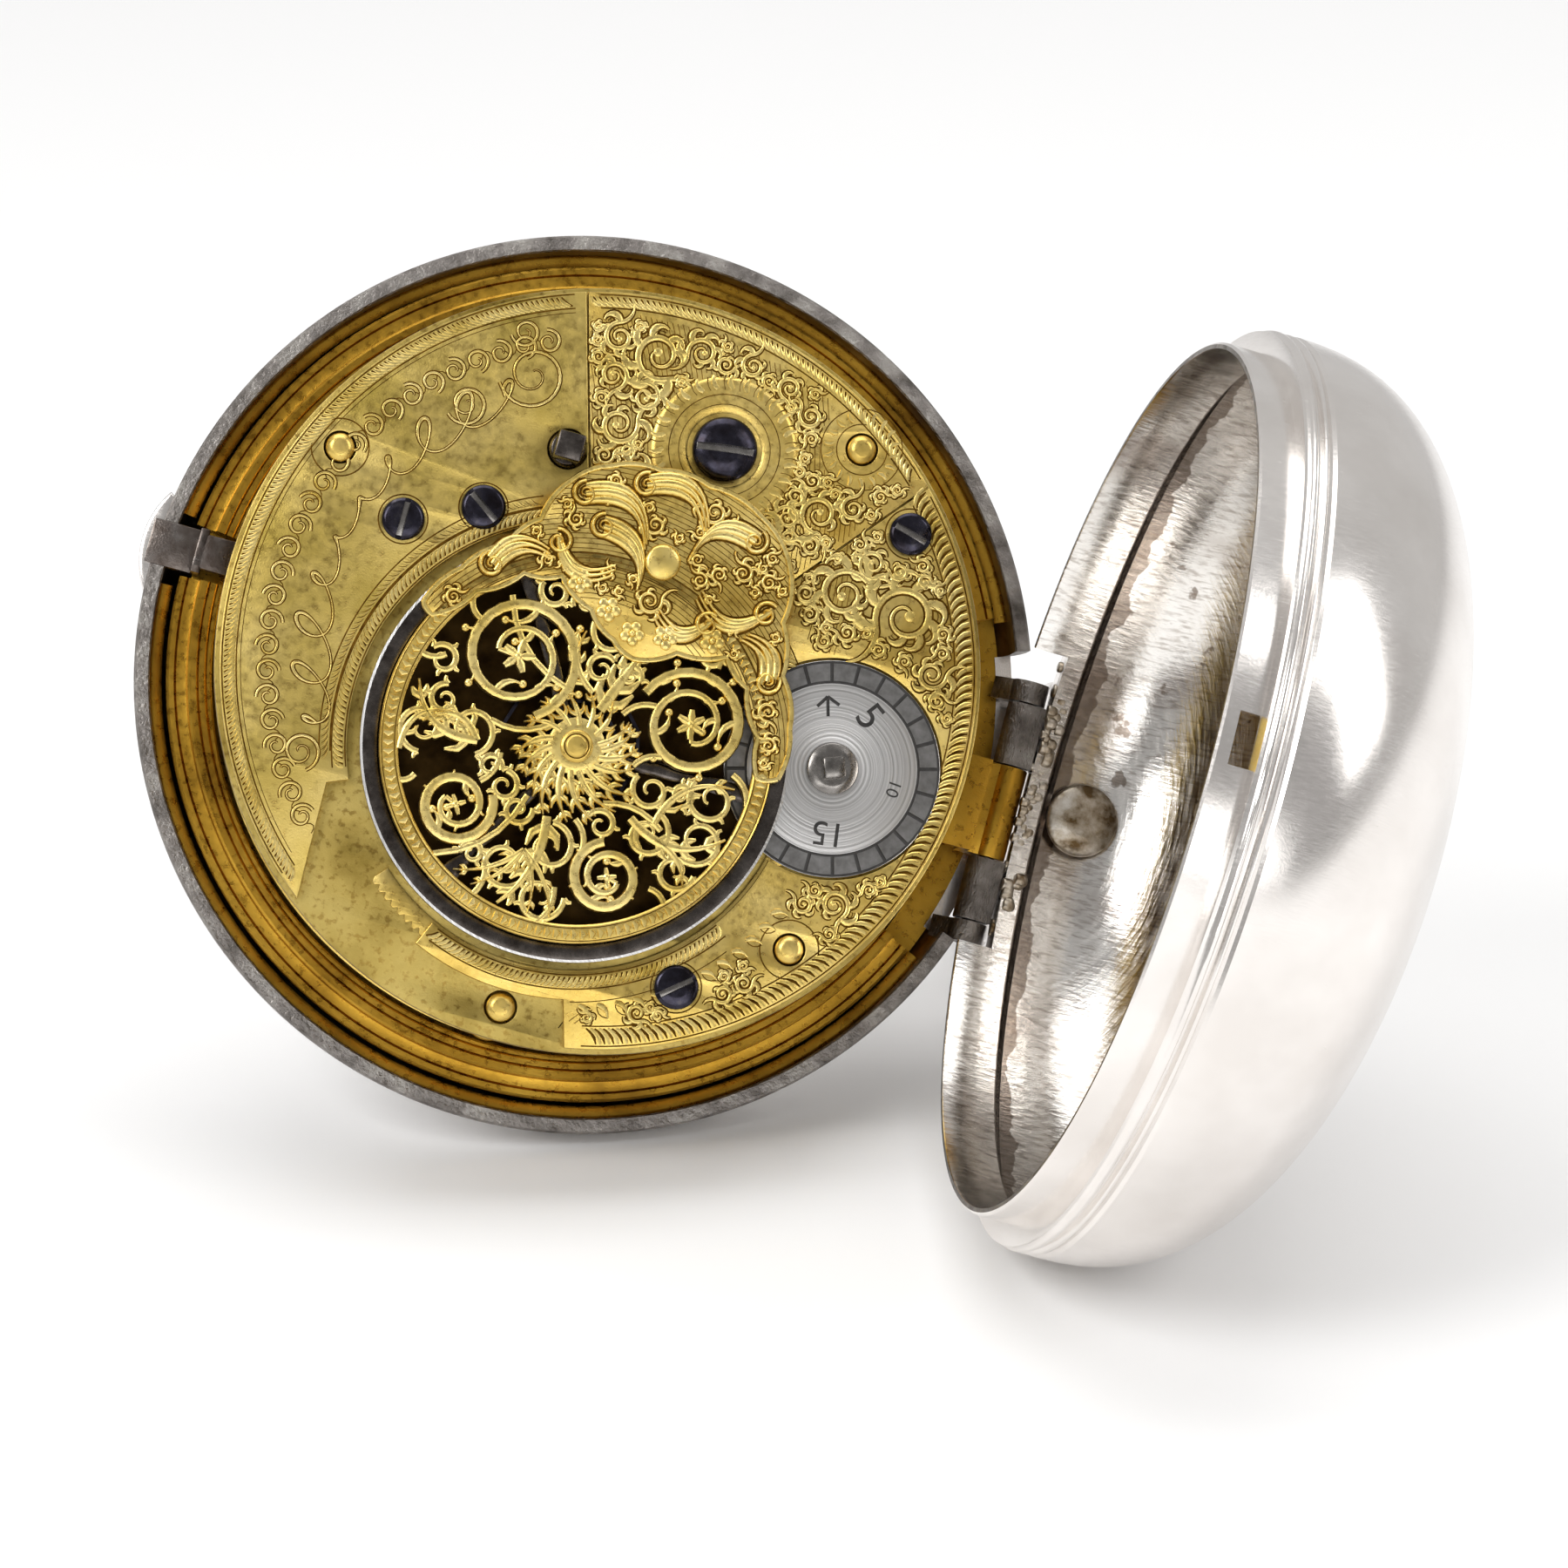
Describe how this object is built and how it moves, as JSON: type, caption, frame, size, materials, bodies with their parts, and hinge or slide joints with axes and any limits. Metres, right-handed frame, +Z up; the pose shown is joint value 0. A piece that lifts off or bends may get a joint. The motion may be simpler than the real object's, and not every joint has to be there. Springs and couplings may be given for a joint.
{
  "type": "hunter pocket watch",
  "caption": "Silver hunter pocket watch standing open on its edge: hinged bowl and front cover, bow, and a gilt fusee verge movement with pierced balance cock.",
  "frame": {"origin": "on the ground, under the middle of the watch's bounding box as it stands half open", "axes": "+Z up; the back of the movement faces -Y and tilts up, the open bowl stands at +X, the bow behind at +Y"},
  "size_m": [0.0802, 0.0756, 0.0542],
  "materials": {
    "silver": "polished silver with fine scratches and a thin dark tarnish in the corners",
    "worn_silver": "dull, filed and handled silver",
    "gilt": "satin fire gilding, engraved by hand",
    "brass": "satin brass",
    "steel": "ground steel",
    "blued_steel": "polished and heat-blued",
    "silvered": "silvered and circularly grained",
    "enamel": "white fired enamel on copper",
    "glass": "clear domed glass"
  },
  "bodies": {
    "movement": {"hinge_pin": "steel", "brass_edge": "gilt", "movement_joint": "brass", "bezel": "gilt", "crystal": "glass", "dial": "enamel", "pillar_plate": "gilt", "top_plate": "gilt", "pillar_1": "brass", "pillar_2": "brass", "pillar_3": "brass", "pillar_4": "brass", "name_plate": "gilt", "balance_cock": "gilt", "slide_plate": "gilt", "name_plate_screw_1": "blued_steel", "name_plate_screw_2": "blued_steel", "slide_plate_screw_1": "blued_steel", "slide_plate_screw_2": "blued_steel", "cock_screw": "blued_steel", "hairspring": "blued_steel", "potence": "brass", "counter_potence": "brass", "barrel_arbor": "steel", "fusee_chain": "steel", "bolt_spring": "steel"},
    "case_bowl": {"case_bowl": "silver", "bowl_knuckle_upper": "silver", "bowl_knuckle_lower": "silver", "pendant": "silver"},
    "bow": {"bow": "silver", "bow_pin": "steel"},
    "front_cover": {"front_lid": "worn_silver", "lid_knuckle_upper": "silver", "lid_knuckle_lower": "silver"},
    "balance": {"balance_wheel": "steel", "verge_staff": "steel"},
    "contrate": {"contrate_wheel": "brass"},
    "crown": {"crown_wheel": "brass"},
    "third": {"third_wheel": "brass"},
    "centre": {"centre_wheel": "brass", "cannon_pinion": "steel", "minute_hand": "blued_steel"},
    "minute": {"minute_wheel": "brass"},
    "hour": {"hour_wheel": "brass", "hour_hand": "blued_steel"},
    "fusee": {"fusee": "brass"},
    "barrel": {"barrel": "brass", "barrel_cover": "brass", "mainspring": "steel"},
    "regulator": {"regulator_disc": "silvered", "regulator_arbor": "steel"},
    "rack": {"rack_ring": "gilt"},
    "bolt": {"bolt": "steel"}
  },
  "joints": [
    {"name": "case_hinge", "type": "hinge", "parent": "movement", "child": "case_bowl", "pos_m": [0.01326, 0.01407, 0.01735], "axis": [0.2789, 0.4588, 0.8436], "range_deg": [-95.7, 4.3]},
    {"name": "bow_swing", "type": "hinge", "parent": "case_bowl", "child": "bow", "pos_m": [0.01648, 0.02092, 0.01256], "axis": [0.2789, 0.4588, 0.8436], "range_deg": [-30, 30]},
    {"name": "cover_hinge", "type": "hinge", "parent": "movement", "child": "front_cover", "pos_m": [0.01326, 0.01407, 0.01735], "axis": [0.2789, 0.4588, 0.8436], "range_deg": [-35, 0]},
    {"name": "balance_swing", "type": "hinge", "parent": "movement", "child": "balance", "pos_m": [-0.01338, 0.00699, 0.02402], "axis": [0.1235, -0.8883, 0.4423], "range_deg": [-55, 55], "stiffness_Nm_per_rad": 0.00003},
    {"name": "train_spin", "type": "hinge", "parent": "movement", "child": "contrate", "pos_m": [-0.01014, 0.00378, 0.0144], "axis": [0.1235, -0.8883, 0.4423], "continuous": true},
    {"name": "crown_spin", "type": "hinge", "parent": "movement", "child": "crown", "pos_m": [-0.0133, 0.00637, 0.02433], "axis": [0.3178, -0.3868, -0.8657], "continuous": true},
    {"name": "third_spin", "type": "hinge", "parent": "movement", "child": "third", "pos_m": [-0.00845, 0.00905, 0.01999], "axis": [0.1235, -0.8883, 0.4423], "continuous": true},
    {"name": "centre_spin", "type": "hinge", "parent": "movement", "child": "centre", "pos_m": [-0.01231, 0.01374, 0.02598], "axis": [0.1235, -0.8883, 0.4423], "continuous": true},
    {"name": "minute_wheel_spin", "type": "hinge", "parent": "movement", "child": "minute", "pos_m": [-0.00748, 0.01453, 0.02395], "axis": [0.1235, -0.8883, 0.4423], "continuous": true},
    {"name": "hour_spin", "type": "hinge", "parent": "movement", "child": "hour", "pos_m": [-0.01231, 0.01374, 0.02598], "axis": [0.1235, -0.8883, 0.4423], "continuous": true},
    {"name": "fusee_spin", "type": "hinge", "parent": "movement", "child": "fusee", "pos_m": [-0.01337, 0.01509, 0.04029], "axis": [0.1235, -0.8883, 0.4423], "continuous": true},
    {"name": "barrel_spin", "type": "hinge", "parent": "movement", "child": "barrel", "pos_m": [-0.02664, 0.00612, 0.02597], "axis": [0.1235, -0.8883, 0.4423], "continuous": true},
    {"name": "regulator_turn", "type": "hinge", "parent": "movement", "child": "regulator", "pos_m": [0.00277, 0.00361, 0.02402], "axis": [0.1235, -0.8883, 0.4423], "range_deg": [-140, 140]},
    {"name": "rack_turn", "type": "hinge", "parent": "movement", "child": "rack", "pos_m": [-0.01338, 0.00699, 0.02402], "axis": [0.1235, -0.8883, 0.4423], "range_deg": [-11, 11]},
    {"name": "bolt_slide", "type": "slide", "parent": "movement", "child": "bolt", "axis": [0.9524, -0.0192, -0.3044], "range_m": [0, 0.0011], "stiffness_N_per_m": 150, "springref_m": -0.0005}
  ],
  "couplings": [
    {"joint": "crown_spin", "follows": "train_spin", "ratio": -7.5},
    {"joint": "third_spin", "follows": "train_spin", "ratio": -0.125},
    {"joint": "centre_spin", "follows": "train_spin", "ratio": 0.013889},
    {"joint": "minute_wheel_spin", "follows": "train_spin", "ratio": -0.0046296},
    {"joint": "hour_spin", "follows": "train_spin", "ratio": 0.0011574},
    {"joint": "fusee_spin", "follows": "train_spin", "ratio": -0.0034722},
    {"joint": "barrel_spin", "follows": "train_spin", "ratio": -0.0020833},
    {"joint": "rack_turn", "follows": "regulator_turn", "ratio": -0.071918}
  ]
}
